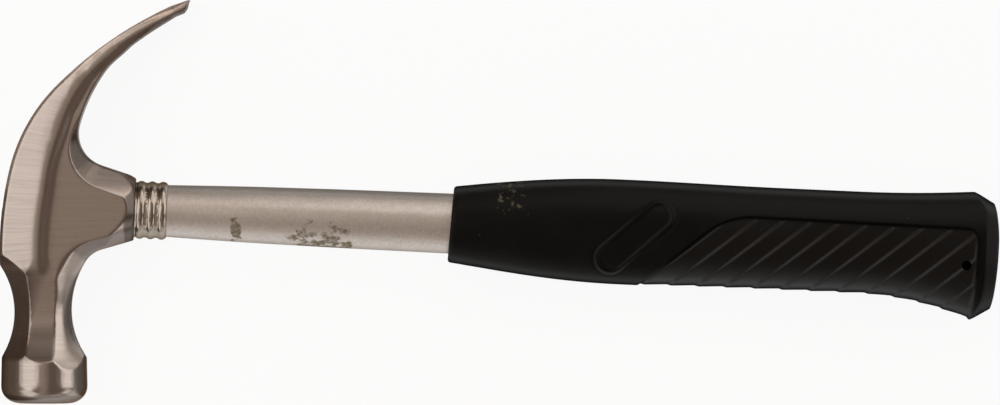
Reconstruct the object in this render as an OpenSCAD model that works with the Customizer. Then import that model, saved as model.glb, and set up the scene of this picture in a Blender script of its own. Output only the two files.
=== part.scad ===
// Claw hammer: forged steel head, tubular steel shaft, beaded collar and moulded rubber grip.
// The origin is the centre of the striking face and -Y points out of that face. +X runs along
// the handle, and +Z is up, out of the cheek, as the hammer lies on its side.

/* [Bell and neck] */
// Diameter of the bell
bell_d = 28.6; // [26:0.1:31]
// Diameter of the flat striking face
face_d = 15.6; // [12:0.1:20]
// Height of the rounded edge round the striking face
face_edge = 5.6; // [3:0.1:7]
// How much slimmer the bell is at the neck than at the face
bell_taper = 0.6; // [0:0.1:2]
// Width of the neck along the handle
neck_w = 18.8; // [18:0.1:20]
// Thickness of the neck across the cheeks
neck_t = 17.2; // [15:0.1:20]
// Height of the neck's waist above the face
neck_y = 30.2; // [29:0.1:31.5]
// How far the neck sits towards the back of the head
neck_back = 0.4; // [0:0.1:1.2]
// Radius of the wheel that grinds the neck's eight hollow facets
wheel_r = 28; // [26:0.5:31]

/* [Head body] */
// Height of the handle axis above the face, at the head axis
eye_y = 65.4; // [64:0.1:68]
// Lean of the handle towards the face, in degrees
rake = 2.55; // [0:0.05:4]
// Distance from the head axis to the back of the head
back_x = 14.6; // [13.5:0.1:16]
// Thickness across the flat cheeks
cheek_t = 22; // [21:0.1:24]
// Thickness across the ridges beside the cheeks
ridge_t = 24.6; // [24.2:0.1:27.5]
// Distance from the back of the head to the ridge
ridge_in = 12.9; // [11:0.1:14]
// Slope of the back facets, in degrees
facet_tilt = 10.5; // [6:0.5:12]
// Distance from the head axis to the end of the handle socket
socket_len = 30; // [27:0.5:33]
// Height of the socket's end above the handle axis
socket_up = 10.8; // [10.4:0.1:11.6]
// Slope of the socket's upper side, in degrees
socket_slope = 16; // [12:0.5:20]
// Slope of the socket's underside, in degrees
under_slope = 18.5; // [15:0.5:21]
// Radius of the hollow between the neck and the socket
under_r = 30; // [29:0.5:31]
// Width of the chamfer over the socket, at its end
over_chamfer = 7.6; // [4:0.1:8]
// Width of the chamfer under the socket, at its end
under_chamfer = 3.6; // [2:0.1:5]

/* [Claw] */
// Width across the claw at its tip
claw_w = 28.6; // [27:0.1:31]
// Radius of the back of the head, behind the eye
back_r = 115; // [100:1:140]
// Radius of the bend where the claw leaves the head
bend_r = 58; // [52:1:66]
// Radius of the outer side of the claw
claw_r = 130; // [115:1:150]
// Turn of the claw past its bend, in degrees
claw_turn = 23.4; // [20:0.1:26]
// Radius of the inner side of the claw
hollow_r = 55.5; // [53:0.5:60]
// Thickness of the claw at its tip
tip_t = 3.3; // [2.5:0.1:4.5]
// Thickness of the claw where it leaves the head
root_t = 12.4; // [11:0.1:13]
// Radius of the crotch between claw and socket
crotch_r = 11; // [8:0.5:12]
// Angle of the sharpened tip, in degrees
tip_angle = 41; // [30:1:50]
// Width of the nail slot at the tip
slot_w = 10.5; // [8:0.1:13]
// Width of the nail slot at its closed end
slot_end_w = 2.6; // [1.5:0.1:4]
// Length of the nail slot along the claw
slot_len = 44; // [35:0.5:50]

/* [Shaft] */
// Diameter of the tube where it leaves the collar
tube_d = 17.2; // [16.6:0.1:17.8]
// Diameter of the tube inside the grip
tube_grip_d = 19.9; // [18.5:0.1:21]
// Diameter of the tube at its waist in the eye
waist_d = 15.6; // [14.6:0.1:16.4]
// Diameter of the flared end of the tube at the back of the head
flare_d = 16.8; // [15.8:0.1:17.4]
// Wall of the tube
tube_wall = 1.6; // [1:0.1:2.2]
// How far the tube's end lies below the back of the head
eye_recess = 0.4; // [0.2:0.1:2]
// Gap in the pressed and bonded fits
fit_gap = 0.05; // [0.02:0.01:0.15]

/* [Collar] */
// Length of the collar
collar_len = 10.8; // [8:0.1:14]
// Diameter over the beads
collar_d = 19.2; // [18.8:0.1:21]
// Depth of the grooves between the beads
groove = 0.5; // [0.2:0.05:0.6]
// Number of beads
beads = 3; // [2:1:5]

/* [Eye filling] */
// Length of the hardwood core in the tube
core_len = 38; // [25:1:55]
// Length of the steel wedge
wedge_len = 22; // [14:1:24]
// Width of the steel wedge
wedge_w = 9.6; // [7:0.1:10.4]
// Thickness of the steel wedge at its top
wedge_t = 2.8; // [1.5:0.1:3.5]

/* [Grip] */
// Distance from the head axis to the mouth of the grip
grip_start = 134.4; // [120:0.2:150]
// Length of the grip
grip_len = 181.2; // [170:0.2:200]
// Thickness of the rubber at the mouth
mouth_wall = 2.4; // [1.6:0.1:4]
// Height of the grip at its belly
belly_h = 34.7; // [30:0.1:38]
// Thickness of the grip at its belly
belly_t = 27; // [25:0.1:28.4]
// Height of the flared butt
butt_h = 42.5; // [38:0.1:46]
// Thickness of the flared butt
butt_t = 28.6; // [27:0.1:31]
// Rubber left between the end of the tube and the end of the grip
butt_solid = 19.5; // [17:0.1:24]
// Diameter of the cord hole
cord_hole_d = 3.2; // [2.4:0.1:5]
// Distance from the cord hole to the end of the grip
cord_hole_in = 10.8; // [9:0.1:12]
// Distance from the cord hole to the handle axis
cord_hole_drop = 6.2; // [2:0.1:9]
// Number of slanted grooves in the moulded panel
ribs = 13; // [0:1:13]
// Distance between the grooves, along the grip
rib_pitch = 9.2; // [8:0.1:12]
// Slant of the grooves to the handle axis, in degrees
rib_slant = 38.5; // [34:0.5:50]
// Width of the grooves
rib_w = 1.3; // [0.8:0.1:2.5]
// Depth of the grooves
rib_depth = 0.6; // [0.3:0.05:1]
// Length of the plug in the end of the tube
plug_len = 12; // [6:0.5:20]

/* [Hidden] */
$fn = 64;

steel = "#9a918a";
satin = "#b9b1aa";
bright = "#c8bcae";
timber = "#b98d5a";
rubber = "#242220";
nylon = "#3b3b3d";

far = 60;
function mix(a, b, t) = a + (b - a) * t;
bell_r = bell_d / 2;
face_r = face_d / 2;
cheek = cheek_t / 2;

// The back of the head and the outer side of the claw are one chain of three tangent arcs.
back_turn = 14;
bend_turn = 31;
back_start_y = eye_y - 15.4;
arc_a = back_r * back_turn * PI / 180;
arc_b = arc_a + bend_r * bend_turn * PI / 180;
arc_c = arc_b + claw_r * claw_turn * PI / 180;
below = back_start_y - neck_y + 5;
past_tip = 6;
function degrees(length, radius) = length / radius * 180 / PI;
function heading(s) =
    s < 0 ? 90 :
    s < arc_a ? 90 - degrees(s, back_r) :
    s < arc_b ? 90 - back_turn - degrees(s - arc_a, bend_r) :
    90 - back_turn - bend_turn - degrees(s - arc_b, claw_r);
function along(p, from, to, radius) = p + radius * [sin(from) - sin(to), cos(to) - cos(from)];
back_p = [-back_x, back_start_y];
bend_p = along(back_p, 90, heading(arc_a), back_r);
claw_p = along(bend_p, heading(arc_a), heading(arc_b), bend_r);
function back_point(s) =
    s < 0 ? back_p + [0, s] :
    s < arc_a ? along(back_p, 90, heading(s), back_r) :
    s < arc_b ? along(bend_p, heading(arc_a), heading(s), bend_r) :
    along(claw_p, heading(arc_b), heading(s), claw_r);
function inward(s) = [sin(heading(s)), -cos(heading(s))];
function inside(s, depth) = back_point(s) + inward(s) * depth;
tip = back_point(arc_c);

// The inner side of the claw is one arc through its tip and its root.
tip_in = inside(arc_c, tip_t);
root_in = inside(arc_b, root_t);
chord = tip_in - root_in;
half_chord = norm(chord) / 2;
across = [chord.y, -chord.x] / norm(chord);
hollow_c = (tip_in + root_in) / 2 + across * sqrt(pow(hollow_r, 2) - pow(half_chord, 2));
function thickness(s) =
    let (gap = back_point(s) - hollow_c, reach = gap * inward(s))
    -reach - sqrt(max(0, pow(reach, 2) - gap * gap + pow(hollow_r, 2)));

// The ridge runs close to the back of the claw and fades into its tip.
ridge_thin = 1.8;
function share(s, from, to) = min(1, max(0, (s - from) / (to - from)));
function ease(t) = t * t * (3 - 2 * t);
ridge_from = 0.18 * arc_c;
ridge_to = 0.74 * arc_c;
function ridge_depth(s) = ridge_in + (ridge_thin - ridge_in) * ease(share(s, ridge_from, ridge_to));
function ridge_z(s) = ridge_t / 2 + (claw_w - ridge_t) / 2 * ease(share(s, arc_a, arc_c));
band_wide = 2.9;
band_thin = 1.1;
function band(s) = band_wide + (band_thin - band_wide) * ease(share(s, arc_b, arc_c));
tip_step = 1.4;
sunk = 0.25;
function inner_z(s) =
    let (t = ease(share(s, arc_a, arc_c)))
    ridge_z(s) - (1 - t) * ((ridge_t - cheek_t) / 2 + sunk) - t * tip_step;
body_depth = 17;
function spine_depth(s) =
    s < arc_b ? min(body_depth, thickness(s) - 1.2 * (1 - share(s, arc_a, arc_b))) :
    thickness(s);

edge_bevel = 1;
// One half of a cross-section of the back and claw: depth from the back, and half width.
function half_section(s) =
    let (
        ridge = ridge_depth(s),
        top = ridge_z(s),
        soft = min(1, ridge / 4),
        slope = tan(facet_tilt),
        low = inner_z(s),
        fall = (top - low) / band(s),
        edge = top - ridge * slope,
        bevel = edge_bevel * soft
    )
    [
        [0, edge - bevel],
        [bevel, edge + bevel * slope],
        [ridge - soft, top - soft * slope],
        [ridge, top - 0.15 * soft],
        [ridge + 0.6 * soft, top - 0.6 * soft * fall],
        [ridge + band(s), low],
        [max(spine_depth(s), ridge + band(s) + 0.4), low]
    ];
function section(s) =
    let (half = half_section(s), n = len(half))
    [
        for (p = half) concat(inside(s, p.x), p.y),
        for (i = [n - 1:-1:0]) concat(inside(s, half[i].x), -half[i].y)
    ];

// Closed solid through rings with the same number of points, clockwise as seen from the first.
module loft(rings) {
    n = len(rings[0]);
    last = len(rings) - 1;
    points = [for (ring = rings) each ring];
    faces = [
        [for (i = [0:n - 1]) i],
        for (k = [0:last - 1], i = [0:n - 1])
            let (a = k * n + i, b = k * n + (i + 1) % n)
            each [[a, a + n, b], [b, a + n, b + n]],
        [for (i = [n - 1:-1:0]) last * n + i]
    ];
    polyhedron(points, faces);
}

module spine() {
    step = 2.6;
    count = ceil((below + arc_c + past_tip) / step);
    loft([for (k = [0:count]) section(-below + k * (below + arc_c + past_tip) / count)]);
}

// Places its children on the handle axis, with +X along the handle.
module on_handle() translate([0, eye_y, 0]) rotate([0, 0, -rake]) children();
function handle_point(u, v) =
    [u * cos(rake) + v * sin(rake), eye_y - u * sin(rake) + v * cos(rake)];

// Outline above the socket: the inner side of the claw, the crotch and the socket's upper side.
socket_top = handle_point(socket_len, socket_up);
top_along = [cos(socket_slope + rake), -sin(socket_slope + rake)];
top_up = [sin(socket_slope + rake), cos(socket_slope + rake)];
// The crotch touches the socket's upper side and the inner side of the claw.
crotch_base = socket_top + top_up * crotch_r - hollow_c;
crotch_run = crotch_base * top_along;
crotch_s = -crotch_run - sqrt(pow(crotch_run, 2) - crotch_base * crotch_base + pow(hollow_r - crotch_r, 2));
crotch_c = socket_top + top_up * crotch_r + top_along * crotch_s;
crotch_from = atan2(crotch_c.y - hollow_c.y, crotch_c.x - hollow_c.x);
crotch_a = crotch_from < 0 ? crotch_from + 360 : crotch_from;
crotch_b = 270 - socket_slope - rake;
function around(c, r, a) = c + r * [cos(a), sin(a)];
claw_steps = 4;
crotch_steps = 14;
over_path = [
    for (k = [0:claw_steps - 1]) around(hollow_c, hollow_r, crotch_a - 5 * (1 - k / claw_steps)),
    for (k = [0:crotch_steps]) around(crotch_c, crotch_r, mix(crotch_a, crotch_b, k / crotch_steps)),
    for (k = [1:3]) crotch_c - top_up * crotch_r - top_along * crotch_s * k / 3,
    socket_top + top_along * 3
];
over_end = len(over_path) - 2;

// Outline under the socket, from its end to the bell: a straight run, two arcs and the neck's side.
neck_right = neck_w / 2 - neck_back;
side_r = 27;
side_y = neck_y + 0.8;
under_turn = 32;
under_bend_r = 9;
under_h = under_slope - rake;
under_a = along([neck_right, side_y], 90, 90 - under_turn, under_r);
under_b = along(under_a, 90 - under_turn, under_h, under_bend_r);
function side_sag(y) = side_r - sqrt(pow(side_r, 2) - pow(side_y - y, 2));
bend_steps = 8;
arc_steps = 7;
side_steps = 9;
side_low = 9;
under_path = [
    under_b + (socket_len + 6 - under_b.x) * [1, tan(under_h)],
    for (k = [0:bend_steps - 1])
        along(under_a, 90 - under_turn, mix(under_h, 90 - under_turn, k / bend_steps), under_bend_r),
    for (k = [0:arc_steps - 1])
        along([neck_right, side_y], 90, mix(90 - under_turn, 90, k / arc_steps), under_r),
    for (k = [0:side_steps])
        let (y = mix(side_y, side_low, k / side_steps))
        [neck_right + side_sag(y), y]
];

module cheek_block() {
    step = 4;
    top_s = arc_b - 4;
    count = ceil((below + top_s) / step);
    left = [
        for (k = [0:count])
            let (s = -below + k * (below + top_s) / count)
            inside(s, ridge_depth(s) + 0.6 * band(s))
    ];
    translate([0, 0, -cheek]) linear_extrude(cheek_t) polygon(concat(
        left,
        [for (k = [claw_steps:-1:1]) around(hollow_c, hollow_r, crotch_a - 3 * k)],
        [for (k = [claw_steps:over_end]) over_path[k]],
        [handle_point(socket_len, -socket_up), [socket_len, left[0].y]]
    ));
}

module bell() {
    edge = bell_r - face_r;
    steps = 9;
    rotate([-90, 0, 0]) rotate_extrude($fn = 96) polygon([
        [0, 0],
        for (k = [0:steps]) [face_r + edge * sin(90 * k / steps), face_edge * (1 - cos(90 * k / steps))],
        [bell_r - bell_taper, neck_y + 4],
        [0, neck_y + 4]
    ]);
}

// Apothem of the neck's octagon towards an angle about the head axis, measured from the handle.
function apothem(angle) = neck_w / 2 * pow(cos(angle), 2) + neck_t / 2 * pow(sin(angle), 2);
module wheel(angle)
    translate([-neck_back, neck_y, 0]) rotate([0, -angle, 0])
        translate([apothem(angle) + wheel_r, 0, 0])
            cylinder(r = wheel_r, h = 2 * far, center = true, $fn = 128);

module neck_cuts() for (angle = [90:45:270]) wheel(angle);

// Chamfer cutter that follows a path along the edge of the cheek, with a width at each point.
module edge_cut(path, widths, slope) {
    spare = 3;
    last = len(path) - 1;
    rings = [
        for (k = [0:last])
            let (
                run = path[min(last, k + 1)] - path[max(0, k - 1)],
                out = [-run.y, run.x] / norm(run),
                w = widths[k]
            )
            [
                concat(path[k] - out * (w + spare), cheek + spare * slope),
                concat(path[k] + out * spare, cheek - (w + spare) * slope),
                concat(path[k] + out * spare, cheek + spare * slope)
            ]
    ];
    for (side = [0, 1]) mirror([0, 0, side]) loft(rings);
}

// Chamfer that carries the neck's corner facet at a height y.
function wheel_sag(y) = wheel_r - sqrt(pow(wheel_r, 2) - pow(neck_y - y, 2));
function corner_chamfer(y) = cheek - (apothem(45) + wheel_sag(y)) * sqrt(2) + neck_w / 2 + side_sag(y);

module underside_cuts() {
    last = len(under_path) - 1;
    upper = bend_steps + arc_steps + 1;
    translate([0, 0, -far]) linear_extrude(2 * far) polygon(concat(
        under_path,
        [[2 * far, side_low], [2 * far, under_path[0].y]]
    ));
    edge_cut(
        under_path,
        [
            for (k = [0:last])
                k < upper ? mix(under_chamfer, corner_chamfer(side_y), pow(k / upper, 1.3)) :
                corner_chamfer(under_path[k].y)
        ],
        1
    );
}

module overside_cuts() {
    slope = 0.85;
    edge_cut(
        over_path,
        [for (k = [0:over_end + 1]) (over_chamfer + 0.6) * pow(sin(90 * min(1, k / over_end)), 1.6) - 0.6],
        slope
    );
}

// The socket's end closes in all round towards the tube.
module socket_end_cut() {
    run = 10;
    end_front = 9.6;
    end_top = socket_up - 0.5;
    grow = 0.55;
    on_handle() difference() {
        translate([socket_len - run, -far / 2, -far / 2]) cube([run + 8, far, far]);
        loft([
            for (u = [-run - 1, 0]) [
                for (a = [0:7.5:352.5]) [
                    socket_len + u,
                    (end_top - u * grow) * sin(a),
                    -(end_front - u * grow) * cos(a)
                ]
            ]
        ]);
    }
}

module tip_cut()
    translate(concat(tip, 0)) rotate([0, 0, heading(arc_c) + tip_angle])
        translate([-far / 2, -far / 2, -far / 2]) cube([far, far / 2, far]);

// The nail slot widens towards the tip and, a little, towards the inner side of the claw.
module nail_slot() {
    end_p = back_point(arc_c - slot_len);
    run = tip - end_p;
    length = norm(run);
    spread = 0.06;
    reach = 14;
    ahead = 12;
    function wide(x, y) = (slot_end_w + (slot_w - slot_end_w) * x / length) / 2 - spread * y;
    translate(concat(end_p, 0)) rotate([0, 0, atan2(run.y, run.x)]) loft([
        for (x = [0, length + ahead]) [
            [x, reach, -wide(x, reach)],
            [x, reach, wide(x, reach)],
            [x, -reach, wide(x, -reach)],
            [x, -reach, -wide(x, -reach)]
        ]
    ]);
}

// Outline of the tube, as distance along the handle and radius.
flare_y = eye_y + flare_d / 2 - back_start_y;
tube_top = eye_recess - back_x + back_r - sqrt(pow(back_r, 2) - pow(flare_y, 2));
tube_end = grip_start + grip_len - butt_solid;
tube_outline = [
    [tube_top, flare_d / 2],
    [tube_top + 12, waist_d / 2],
    [socket_len - 12, waist_d / 2],
    [socket_len, tube_d / 2],
    [socket_len + collar_len, tube_d / 2],
    [socket_len + collar_len + 26, tube_d / 2 + 0.5 * (tube_grip_d - tube_d) / 2],
    [socket_len + collar_len + 58, tube_d / 2 + 0.82 * (tube_grip_d - tube_d) / 2],
    [grip_start, tube_grip_d / 2],
    [tube_end, tube_grip_d / 2]
];
tube_last = len(tube_outline) - 1;
function widened(points, more) = [for (p = points) [p.x, p.y + more]];
module turned(points) rotate([0, 90, 0]) rotate_extrude($fn = 96) polygon([for (p = points) [p.y, p.x]]);
module filled(points) {
    last = len(points) - 1;
    turned(concat(points, [[points[last].x, 0], [points[0].x, 0]]));
}

module eye() {
    seat = widened([for (k = [0:3]) tube_outline[k]], fit_gap);
    flare = (seat[0].y - seat[1].y) / (seat[1].x - seat[0].x);
    filled(concat([[seat[0].x - 8, seat[0].y + 8 * flare]], seat, [[seat[3].x + 8, seat[3].y]]));
}

// The head in the order it is made: forged blank, ground neck, shaped socket, split claw, eye.
module forged_blank() {
    spine();
    cheek_block();
    bell();
}

module ground_neck() {
    difference() {
        forged_blank();
        neck_cuts();
    }
}

module hollowed_underside() {
    difference() {
        ground_neck();
        underside_cuts();
    }
}

module bevelled_socket() {
    difference() {
        hollowed_underside();
        overside_cuts();
    }
}

module closed_socket() {
    difference() {
        bevelled_socket();
        socket_end_cut();
    }
}

module sharpened_claw() {
    difference() {
        closed_socket();
        tip_cut();
    }
}

module split_claw() {
    difference() {
        sharpened_claw();
        nail_slot();
    }
}

module hammer_head() {
    color(steel) difference() {
        split_claw();
        on_handle() eye();
    }
}

module shaft_tube() {
    inner = widened(tube_outline, -tube_wall);
    color(satin) on_handle() turned(concat(tube_outline, [for (k = [tube_last:-1:0]) inner[k]]));
}

module neck_collar() {
    bead_r = 1.9;
    pitch = collar_len / beads;
    low = collar_d / 2 - groove;
    bore = tube_d / 2 + fit_gap;
    color(bright) on_handle() translate([socket_len, 0, 0])
        rotate([0, 90, 0]) rotate_extrude($fn = 96) intersection() {
            translate([bore, fit_gap]) square([far, collar_len]);
            union() {
                square([low, collar_len - pitch / 2]);
                for (k = [0:beads - 1])
                    translate([collar_d / 2 - bead_r, (k + 0.5) * pitch]) circle(bead_r);
            }
        }
}

module wedge(gap) {
    thin = 0.25;
    translate([tube_top, 0, 0]) loft([
        for (x = [0, wedge_len + gap])
            let (
                t = wedge_t * mix(1, thin, x / wedge_len) / 2 + gap,
                w = wedge_w / 2 + gap
            )
            [[x, w, -t], [x, w, t], [x, -w, t], [x, -w, -t]]
    ]);
}

module eye_core() {
    outline = widened([for (k = [0:3]) tube_outline[k]], -tube_wall - fit_gap);
    color(timber) on_handle() difference() {
        intersection() {
            filled(outline);
            translate([tube_top, -far, -far]) cube([core_len, 2 * far, 2 * far]);
        }
        translate([-fit_gap, 0, 0]) wedge(fit_gap);
    }
}

module eye_wedge() {
    color(steel) on_handle() wedge(0);
}

module tube_end_plug() {
    flange = 2;
    spigot = tube_grip_d / 2 - tube_wall - fit_gap;
    color(nylon) on_handle() filled([
        [tube_end - plug_len, spigot],
        [tube_end + fit_gap, spigot],
        [tube_end + fit_gap, tube_grip_d / 2],
        [tube_end + flange, tube_grip_d / 2]
    ]);
}

// Sections of the grip: place along it from 0 to 1, height above and below the axis, half thickness.
mouth_r = tube_grip_d / 2 + mouth_wall;
grip_end = grip_start + grip_len;
belly_v = belly_h / 2;
belly_z = belly_t / 2;
butt_up = butt_h * 0.43;
butt_down = butt_h - butt_up;
butt_z = butt_t / 2;
butt_long = 8.7;
flare_from = 0.74;
butt_at = 1 - butt_long / grip_len;
function swell(t) = sin(90 * share(t, 0, 0.31));
function flare(t) = pow(share(t, flare_from, butt_at), 2);
function fall(t) = ease(share(t, 0.33, 0.6));
function top_line(t) = mix(mouth_r, belly_v - 0.25 - 0.5 * fall(t), swell(t));
function bottom_line(t) = mix(mouth_r + 0.4, belly_v + 0.25 - 0.3 * fall(t), swell(t));
function grip_up(t) = mix(top_line(t), butt_up, flare(t));
function grip_down(t) = mix(bottom_line(t), butt_down, flare(t));
function grip_side(t) = mix(mix(mouth_r, belly_z, swell(t)), butt_z, flare(t));
// The butt's rim is bevelled, and its end is slightly domed. A lean moves the top of a ring along u, and back
// moves its top and bottom towards the head.
rim_long = 4.5;
rim_back = 4;
bevel_in = 3.6;
dome = 0.7;
dome_back = 1.5;
mouth_lean = 0.045;
ring_points = 48;
rim_at = 1 - rim_long / grip_len;
function slid(t) = rim_back * pow(share(t, 0.86, rim_at), 2);
function oval(u, up, down, side, lean, back) = [
    for (k = [0:ring_points - 1])
        let (
            a = 360 * k / ring_points,
            power = 0.88,
            c = sign(cos(a)) * pow(abs(cos(a)), power),
            s = sign(sin(a)) * pow(abs(sin(a)), power),
            v = s * (s > 0 ? up : down)
        )
        [u + lean * v - back * pow(s, 4), v, -c * side]
];
function grip_ring(t, less) =
    let (t_end = t - slid(t) / grip_len)
    oval(
        grip_start + t * grip_len,
        grip_up(t_end) - less, grip_down(t_end) - less, grip_side(t) - less,
        mouth_lean * (1 - share(t, 0, 0.06)), slid(t)
    );
grip_steps = 30;
dome_steps = 5;
grip_rings = concat(
    [grip_ring(0, 0.9), grip_ring(0.0012, 0.35), grip_ring(0.004, 0)],
    [for (k = [1:grip_steps]) grip_ring(mix(0.004, rim_at, k / grip_steps), 0)],
    [
        for (k = [0:dome_steps])
            let (out = cos(75 * k / dome_steps))
            oval(
                grip_end - dome * pow(out, 2),
                (butt_up - bevel_in) * out, (butt_down - bevel_in * 1.1) * out, (butt_z - bevel_in) * out,
                0, dome_back * pow(out, 2)
            )
    ]
);

// The grooves run across the belly side, below the panel's upper edge.
panel_up = 5.8;
panel_end = grip_len - butt_long - 2.6;
rib_first = 91.5;
grip_core_rings = [
    for (k = [6:grip_steps]) grip_ring(mix(0.004, rim_at, k / grip_steps), rib_depth)
];
module rib_grooves() {
    difference() {
        intersection() {
            for (k = [0:ribs - 1])
                translate([grip_start + rib_first + k * rib_pitch, panel_up, 0]) rotate([0, 0, rib_slant])
                    translate([-far, -rib_w / 2, -far / 2]) cube([2 * far, rib_w, far]);
            translate([grip_start, panel_up - far, -far / 2]) cube([panel_end, far, far]);
        }
        loft(grip_core_rings);
    }
}

module grip_sleeve() {
    bore = widened([for (k = [5:tube_last]) tube_outline[k]], fit_gap);
    last = len(bore) - 1;
    deep = tube_end + 2 + fit_gap;
    color(rubber) on_handle() difference() {
        difference() {
            loft(grip_rings);
            if (ribs > 0) rib_grooves();
        }
        filled(concat(bore, [[deep, bore[last].y]]));
        translate([grip_end - cord_hole_in, -cord_hole_drop, 0])
            cylinder(d = cord_hole_d, h = 2 * far, center = true);
    }
}

hammer_head();
shaft_tube();
neck_collar();
eye_core();
eye_wedge();
tube_end_plug();
grip_sleeve();
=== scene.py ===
import math

import bpy
import numpy as np
from mathutils import Matrix, Vector


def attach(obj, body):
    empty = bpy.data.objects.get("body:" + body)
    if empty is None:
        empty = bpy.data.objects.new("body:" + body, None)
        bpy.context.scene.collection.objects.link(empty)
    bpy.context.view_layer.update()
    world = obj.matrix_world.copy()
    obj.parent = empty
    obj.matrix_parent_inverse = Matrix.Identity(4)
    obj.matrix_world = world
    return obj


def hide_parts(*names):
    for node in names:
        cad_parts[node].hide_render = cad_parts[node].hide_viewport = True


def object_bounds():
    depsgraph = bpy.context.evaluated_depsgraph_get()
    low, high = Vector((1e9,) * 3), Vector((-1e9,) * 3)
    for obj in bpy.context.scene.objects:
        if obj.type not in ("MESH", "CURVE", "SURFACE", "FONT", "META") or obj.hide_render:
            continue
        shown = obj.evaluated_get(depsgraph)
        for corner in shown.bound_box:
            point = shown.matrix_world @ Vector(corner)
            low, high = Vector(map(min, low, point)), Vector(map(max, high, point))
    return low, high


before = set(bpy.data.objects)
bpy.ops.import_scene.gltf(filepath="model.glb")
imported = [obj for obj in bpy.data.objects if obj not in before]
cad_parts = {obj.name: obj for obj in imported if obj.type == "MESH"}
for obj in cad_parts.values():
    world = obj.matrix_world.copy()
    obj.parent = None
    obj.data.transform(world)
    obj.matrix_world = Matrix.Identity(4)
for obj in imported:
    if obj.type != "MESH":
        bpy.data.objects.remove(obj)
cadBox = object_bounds()
mm = 0.001
floorZ = cadBox[0][2]
handleAxis = {"height": 65.4, "rake": 2.55}  # the handle's line above the striking face, and its lean in degrees


# working helpers
def clearPick():
    if bpy.context.object and bpy.context.object.mode != "OBJECT":
        bpy.ops.object.mode_set(mode="OBJECT")
    bpy.ops.object.select_all(action="DESELECT")


def pick(piece):
    clearPick()
    piece.select_set(True)
    bpy.context.view_layer.objects.active = piece


def readPoints(piece):
    flat = np.zeros(len(piece.data.vertices) * 3)
    piece.data.vertices.foreach_get("co", flat)
    return flat.reshape(-1, 3) / mm


def writePoints(piece, points):
    piece.data.vertices.foreach_set("co", (points * mm).ravel())
    piece.data.update()


def faceCentres(piece):
    clearPick()
    flat = np.zeros(len(piece.data.polygons) * 3)
    piece.data.polygons.foreach_get("center", flat)
    return flat.reshape(-1, 3) / mm


def pickFaces(piece, chosen):
    pick(piece)
    bpy.ops.object.mode_set(mode="EDIT")
    bpy.ops.mesh.select_mode(type="FACE")
    bpy.ops.mesh.select_all(action="DESELECT")
    bpy.ops.object.mode_set(mode="OBJECT")
    piece.data.polygons.foreach_set("select", chosen)
    bpy.ops.object.mode_set(mode="EDIT")


def applyModifier(piece, kind, **settings):
    pick(piece)
    modifier = piece.modifiers.new(kind.lower(), kind)
    for name, value in settings.items():
        setattr(modifier, name, value)
    bpy.ops.object.modifier_apply(modifier=modifier.name)


def smoothShade(piece, angle):
    pick(piece)
    bpy.ops.object.shade_smooth_by_angle(angle=math.radians(angle))


def copyNode(nodeName, pieceName, weldGap=0.002):
    clearPick()
    piece = bpy.data.objects.new(pieceName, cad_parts[nodeName].data.copy())
    bpy.context.scene.collection.objects.link(piece)
    pick(piece)
    bpy.ops.mesh.customdata_custom_splitnormals_clear()
    bpy.ops.object.mode_set(mode="EDIT")
    bpy.ops.mesh.select_all(action="SELECT")
    bpy.ops.mesh.remove_doubles(threshold=weldGap * mm)
    bpy.ops.object.mode_set(mode="OBJECT")
    return piece


def finishPiece(piece, material, slotName, *nodeNames):
    piece.data.materials.clear()
    piece.data.materials.append(material)
    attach(piece, "root")
    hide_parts(*nodeNames)
    print("piece", piece.name, len(piece.data.polygons), "faces")


def ramp(values, low, high):
    return np.clip((values - low) / (high - low), 0, 1)


def ease(t):
    return t * t * (3 - 2 * t)


# camera: straight down on the cheek, long lens
camera = {"centre": (150.5, 66.4), "distance": 5.5, "width": 330.3, "sensor": 36}
lens = bpy.data.cameras.new("camera")
lens.sensor_width = camera["sensor"]
lens.lens = lens.sensor_width * camera["distance"] / (camera["width"] * mm)
viewer = bpy.data.objects.new("camera", lens)
viewer.location = (camera["centre"][0] * mm, camera["centre"][1] * mm, camera["distance"])
bpy.context.scene.collection.objects.link(viewer)
bpy.context.scene.camera = viewer
bpy.context.scene.view_settings.view_transform = "Standard"


# shader helpers
def addNode(tree, kind, sockets=None, **settings):
    node = tree.nodes.new("ShaderNode" + kind)
    for name, value in settings.items():
        setattr(node, name, value)
    for key, value in (sockets or {}).items():
        if isinstance(value, bpy.types.NodeSocket):
            tree.links.new(value, node.inputs[key])
        else:
            node.inputs[key].default_value = value
    return node


def addMath(tree, operation, *values):
    return addNode(tree, "Math", dict(enumerate(values)), operation=operation).outputs[0]


def addVector(tree, operation, first, second):
    return addNode(tree, "VectorMath", {0: first, 1: second}, operation=operation).outputs[0]


def allOf(tree, mask, *others):  # masks multiplied
    for other in others:
        mask = addMath(tree, "MULTIPLY", mask, other)
    return mask


def anyOf(tree, mask, *others):  # the strongest of the masks
    for other in others:
        mask = addMath(tree, "MAXIMUM", mask, other)
    return mask


def addRange(tree, value, low, high, toLow=0.0, toHigh=1.0, soft=True):
    sockets = {"Value": value, "From Min": low, "From Max": high, "To Min": toLow, "To Max": toHigh}
    return addNode(tree, "MapRange", sockets, interpolation_type="SMOOTHSTEP" if soft else "LINEAR").outputs[0]


def addFade(tree, share, first, last):  # even change from one value to another
    return addRange(tree, share, 0, 1, first, last, soft=False)


def addNoise(tree, vector, scale, detail, roughness=0.5):
    sockets = {"Vector": vector, "Scale": scale, "Detail": detail, "Roughness": roughness}
    return addNode(tree, "TexNoise", sockets).outputs[0]


def addSplit(tree, vector):
    return addNode(tree, "SeparateXYZ", {0: vector}).outputs


def addFacing(tree):  # which way the surface looks
    return addSplit(tree, addNode(tree, "NewGeometry").outputs["Normal"])


def mixColour(tree, factor, first, second):
    return addNode(tree, "Mix", {0: factor, 6: first, 7: second}, data_type="RGBA").outputs[2]


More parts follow.
